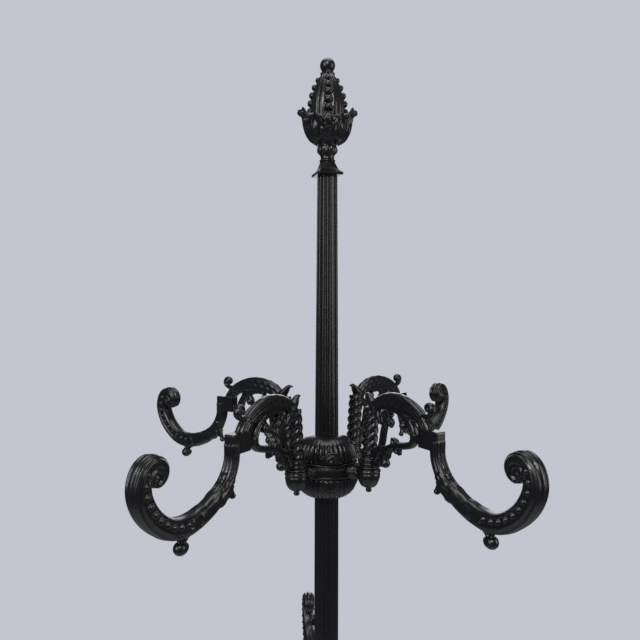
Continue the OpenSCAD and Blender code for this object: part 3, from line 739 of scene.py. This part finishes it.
def drum_shells():
    prof = [(34, 76), (50, 76), (53.2, 77.4), (54.2, 79.6), (54.2, 84), (53, 86.6), (50.6, 88.4), (49.6, 90), (50.4, 91.6), (49.6, 93.4), (48.6, 96), (48, 110), (48, 178), (48.8, 188), (50.4, 194),
            (51.4, 196), (50.8, 197.6), (52, 199), (54.2, 201), (55, 204), (55, 211), (54, 214), (52, 215), (6.6, 215), (6.6, 202), (34, 202)]

    def mod(th, z, r):
        k = float(step01(z, 97, 103) * (1 - step01(z, 186, 193)))
        return r - k * 1.7 * (1 - np.abs(np.cos(16 * th)) ** 1.4) if r > 40 else np.full(len(th), float(r))

    S = [revolve(prof, 384, mod, True)]  # hollow, and open below
    for k in range(4):
        M = rot_z(45 + 90 * k)
        S.append(moved(box_shell((44, -13, 78.4), (59.6, 13, 207.4), 1.4), M))
        M2 = rot_z(90 * k)
        for t in (-1, 0, 1):
            S.append(moved(leaf([(48, t * 13, 97), (50.5 - abs(t) * 1.8, t * 14, 112), (51.5 - abs(t) * 2, t * 13.5, 128), (53.6 - abs(t) * 2, t * 13, 139), (55.8 - abs(t) * 2, t * 12.6, 139)],
                                 [5, 7.5, 7, 4.6, 1.4], (1, t * 0.28, 0.01), 2.6, lobes=4, lobe=0.16, cup=-0.1, mid=1.1), M2))
        S.append(moved(ball((49.4, 0, 176), 5.2, (0.6, 1, 1), 14), M2))
        for j in range(8):
            a = j * pi / 4
            S.append(moved(ball((48.8, 9.2 * math.cos(a), 176 + 9.2 * math.sin(a)), 4.0, (0.55, 1, 1), 10), M2))
    return S


def collar_shells():
    prof = [(17.4, 262), (25.6, 262), (26.4, 263), (26.4, 264.6), (25.4, 265.6), (24.4, 266.2), (24.8, 267.4), (24.2, 268.6), (22.8, 269.2), (20.4, 270.0), (18.6, 271), (17.4, 271)]
    return [revolve(prof, 192, None, True)]


# ---------------------------------------------------------------- finishes
def nodes_of(name):
    m = bpy.data.materials.new(name)
    m.use_nodes = True
    nt = m.node_tree
    return m, nt, nt.nodes["Principled BSDF"]


def noise(nt, vec, scale, detail=4.0, rough=0.55, dist=0.0):
    n = nt.nodes.new("ShaderNodeTexNoise")
    n.inputs["Scale"].default_value = scale
    n.inputs["Detail"].default_value = detail
    n.inputs["Roughness"].default_value = rough
    n.inputs["Distortion"].default_value = dist
    nt.links.new(vec, n.inputs["Vector"])
    return n.outputs["Fac"]


def ramp(nt, fac, stops):
    r = nt.nodes.new("ShaderNodeValToRGB")
    e = r.color_ramp.elements
    while len(e) < len(stops):
        e.new(0.5)
    for k, (pos, c) in enumerate(stops):
        e[k].position = pos
        e[k].color = (c, c, c, 1) if isinstance(c, (int, float)) else (*c, 1)
    nt.links.new(fac, r.inputs["Fac"])
    return r.outputs["Color"]


def blend(nt, fac, a, b, mode="MIX"):
    n = nt.nodes.new("ShaderNodeMix")
    n.data_type = "RGBA"
    n.blend_type = mode
    for sock, val in ((n.inputs["Factor"], fac), (n.inputs[6], a), (n.inputs[7], b)):
        if isinstance(val, bpy.types.NodeSocket):
            nt.links.new(val, sock)
        elif isinstance(val, (int, float)):
            sock.default_value = val
        else:
            sock.default_value = (*val, 1)
    return n.outputs[2]


def bump(nt, height, strength, distance, under=None):
    b = nt.nodes.new("ShaderNodeBump")
    b.inputs["Strength"].default_value = strength
    b.inputs["Distance"].default_value = distance
    nt.links.new(height, b.inputs["Height"])
    if under is not None:
        nt.links.new(under, b.inputs["Normal"])
    return b.outputs["Normal"]


def enamel():
    """Black gloss paint over sand-cast iron: the grain of the casting under a flowing coat, with dust in the hollows and thin paint on the edges."""
    m, nt, bs = nodes_of("black_enamel_cast_iron")
    co = nt.nodes.new("ShaderNodeTexCoord").outputs["Object"]
    patch_ = noise(nt, co, 38, 4, 0.6, 0.4)
    fine = noise(nt, co, 900, 5, 0.6)
    sand = noise(nt, co, 420, 6, 0.68, 0.2)
    flow = noise(nt, co, 120, 3, 0.5, 0.6)
    col = blend(nt, patch_, (0.0030, 0.0030, 0.0034), (0.0080, 0.0080, 0.0092))
    point = nt.nodes.new("ShaderNodeNewGeometry").outputs["Pointiness"]
    edge = ramp(nt, point, [(0.54, 0.0), (0.64, 0.7)])
    hollow = ramp(nt, point, [(0.38, 1.0), (0.47, 0.0)])
    wear = blend(nt, 1.0, edge, ramp(nt, sand, [(0.42, 0.0), (0.72, 1.0)]), "MULTIPLY")
    dust = blend(nt, 1.0, hollow, ramp(nt, flow, [(0.36, 0.0), (0.66, 0.55)]), "MULTIPLY")
    col = blend(nt, wear, col, (0.016, 0.016, 0.018))
    col = blend(nt, dust, col, (0.016, 0.0155, 0.015))
    nt.links.new(col, bs.inputs["Base Color"])
    r = ramp(nt, noise(nt, co, 260, 5, 0.6), [(0.30, 0.22), (0.70, 0.34)])
    r = blend(nt, dust, r, (0.60, 0.60, 0.60))
    nt.links.new(r, bs.inputs["Roughness"])
    n1 = bump(nt, flow, 0.16, 0.0007)
    n2 = bump(nt, sand, 0.07, 0.0002, n1)
    nt.links.new(bump(nt, fine, 0.03, 0.0001, n2), bs.inputs["Normal"])
    bs.inputs["Metallic"].default_value = 0.0
    bs.inputs["IOR"].default_value = 1.52
    return m


def steel():
    m, nt, bs = nodes_of("plain_steel_turned")
    co = nt.nodes.new("ShaderNodeTexCoord").outputs["Object"]
    mp = nt.nodes.new("ShaderNodeMapping")
    mp.inputs["Scale"].default_value = (1, 1, 22)
    nt.links.new(co, mp.inputs["Vector"])
    lines = noise(nt, mp.outputs["Vector"], 160, 4, 0.6)
    blot = noise(nt, co, 90, 4, 0.6)
    nt.links.new(blend(nt, blot, (0.33, 0.33, 0.34), (0.46, 0.45, 0.44)), bs.inputs["Base Color"])
    nt.links.new(ramp(nt, lines, [(0.3, 0.30), (0.7, 0.48)]), bs.inputs["Roughness"])
    nt.links.new(bump(nt, lines, 0.2, 0.0002), bs.inputs["Normal"])
    bs.inputs["Metallic"].default_value = 1.0
    return m


def rubber():
    m, nt, bs = nodes_of("foot_pad_rubber")
    co = nt.nodes.new("ShaderNodeTexCoord").outputs["Object"]
    g = noise(nt, co, 700, 5, 0.6)
    nt.links.new(blend(nt, g, (0.012, 0.012, 0.012), (0.03, 0.03, 0.029)), bs.inputs["Base Color"])
    nt.links.new(ramp(nt, g, [(0.3, 0.72), (0.7, 0.9)]), bs.inputs["Roughness"])
    nt.links.new(bump(nt, g, 0.4, 0.0003), bs.inputs["Normal"])
    return m


ENAMEL, STEEL, RUBBER = enamel(), steel(), rubber()


def up(z, turn=0.0):
    return Matrix.Translation((0, 0, z / 1000)) @ Matrix.Rotation(math.radians(turn), 4, "Z")


# ---------------------------------------------------------------- the pieces
ARM = cast(arm_shells(), 0.82, 5)
UPPER, LOWER = 1278.0, 878.0
for name, hub, az, swing in (("upper_arm_front_right", UPPER, -45, -22.5), ("upper_arm_front_left", UPPER, -135, 4.5),
                             ("upper_arm_rear_right", UPPER, 45, -4.5), ("upper_arm_rear_left", UPPER, 135, 0.5),
                             ("lower_arm_front", LOWER, -90, -5), ("lower_arm_right", LOWER, 0, 0),
                             ("lower_arm_rear", LOWER, 90, -5), ("lower_arm_left", LOWER, 180, 0)):
    a = math.radians(az)
    M = Matrix.Translation((0.0656 * math.cos(a), 0.0656 * math.sin(a), (hub + 11) / 1000)) @ Matrix.Rotation(math.radians(az + swing), 4, "Z")
    place(name + "_casting", ARM, name, [name], ENAMEL, M)

for tier, hub, first in (("upper", UPPER, 45), ("lower", LOWER, 0)):
    place(tier + "_hub_crown_casting", cast(crown_shells(first), 0.6, 3), "stand", [tier + "_hub_crown"], ENAMEL, up(hub))
    place(tier + "_hub_bowl_casting", cast(bowl_shells(first), 0.6, 3), "stand", [tier + "_hub_bowl"], ENAMEL, up(hub))
    place(tier + "_hub_socket_ring_casting", cast(ring_shells(first), 0.65, 3), "stand", [tier + "_hub_socket_ring"], ENAMEL, up(hub))

place("finial_casting", cast(finial_shells(), 0.6, 4), "stand", ["finial"], ENAMEL, up(1667, -7))
place("column_cap_casting", cast(cap_shells(), 0.45, 1), "stand", ["column_cap"], ENAMEL, up(1664, 7))
for name, z0, z1 in (("upper_column", 1323, 1664), ("middle_column", 923, 1241.5), ("lower_column", 262, 841.5)):
    place(name + "_fluted", plain([column_shell(z0, z1)], 60), "stand", [name], ENAMEL)

place("base_collar_turned", plain(collar_shells(), 50), "stand", ["base_collar"], ENAMEL)
place("base_dome_casting", plain(dome_shells(), 50), "stand", ["base_dome"], ENAMEL)
place("base_drum_casting", cast(drum_shells(), 1.0, 3), "stand", ["base_drum"], ENAMEL)
LEG_MESH = cast(leg_shells(), 0.85, 5)
for name, az in (("leg_front_right", -45), ("leg_front_left", -135), ("leg_rear_right", 45), ("leg_rear_left", 135)):
    place(name + "_casting", LEG_MESH, "stand", [name], ENAMEL, Matrix.Rotation(math.radians(az), 4, "Z"))

for name, mat in (("leg_bolts", STEEL), ("tie_rod", STEEL), ("tie_rod_nut", STEEL), ("tie_rod_washer", STEEL), ("foot_pads", RUBBER)):
    for s_ in frame["nodes"][name].material_slots:
        s_.material = mat


# ---------------------------------------------------------------- floor, light and camera
def plain_floor():
    n = 96
    vs = [(0, 0, 0)] + [(1.6 * math.cos(2 * pi * i / n), 1.6 * math.sin(2 * pi * i / n), 0) for i in range(n)]
    me = bpy.data.meshes.new("floor")
    me.from_pydata(vs, [], [(0, i + 1, (i + 1) % n + 1) for i in range(n)])
    ob = bpy.data.objects.new("floor", me)
    scene.collection.objects.link(ob)
    m, nt, bs = nodes_of("pale_floor")
    bs.inputs["Base Color"].default_value = (0.56, 0.57, 0.60, 1)
    bs.inputs["Roughness"].default_value = 0.8
    me.materials.append(m)


plain_floor()
scene.view_settings.view_transform = "Standard"
world = bpy.data.worlds.new("studio")
scene.world = world
world.use_nodes = True
wt = world.node_tree
wt.nodes.clear()
out = wt.nodes.new("ShaderNodeOutputWorld")
mix = wt.nodes.new("ShaderNodeMixShader")
seen, lit = wt.nodes.new("ShaderNodeBackground"), wt.nodes.new("ShaderNodeBackground")
seen.inputs["Color"].default_value = (0.545, 0.560, 0.625, 1)
seen.inputs["Strength"].default_value = 1.0
lit.inputs["Color"].default_value = (0.80, 0.84, 0.92, 1)
lit.inputs["Strength"].default_value = 0.12
wt.links.new(wt.nodes.new("ShaderNodeLightPath").outputs["Is Camera Ray"], mix.inputs[0])
wt.links.new(lit.outputs[0], mix.inputs[1])
wt.links.new(seen.outputs[0], mix.inputs[2])
wt.links.new(mix.outputs[0], out.inputs["Surface"])


def soft(name, at_, look, size, watts, tint=(1, 1, 1)):
    d = bpy.data.lights.new(name, "AREA")
    d.shape = "RECTANGLE"
    d.size, d.size_y = size
    d.energy = watts
    d.color = tint
    ob = bpy.data.objects.new(name, d)
    scene.collection.objects.link(ob)
    ob.location = at_
    ob.rotation_euler = (Vector(look) - Vector(at_)).to_track_quat("-Z", "Y").to_euler()
    ob.visible_camera = False


soft("key_left", (-2.0, -1.4, 2.3), (0, 0, 1.2), (1.2, 1.8), 30, (0.93, 0.96, 1.0))
soft("fill_right", (2.1, -1.0, 1.8), (0, 0, 1.2), (0.9, 1.8), 18, (1.0, 0.97, 0.93))
soft("top", (0.1, 0.2, 3.4), (0, 0, 1.0), (1.6, 1.6), 22)
soft("front_top", (-0.5, -2.0, 3.0), (0, 0, 1.3), (0.7, 0.7), 26)
soft("back", (0.6, 2.2, 1.7), (0, 0, 1.0), (1.6, 1.6), 16)

cam = bpy.data.cameras.new("camera")
cam.lens, cam.sensor_width, cam.sensor_fit = 34.7, 36, "HORIZONTAL"
cam.clip_start = 0.02
cam_ob = bpy.data.objects.new("camera", cam)
scene.collection.objects.link(cam_ob)
cam_ob.matrix_world = (Matrix.Translation((-0.1438, -0.8073, 1.500)) @ Matrix.Rotation(math.radians(-9.45), 4, "Z")
                       @ Matrix.Rotation(math.radians(90 - 1.67), 4, "X") @ Matrix.Rotation(math.radians(0.12), 4, "Z"))
scene.camera = cam_ob

bpy.context.view_layer.update()
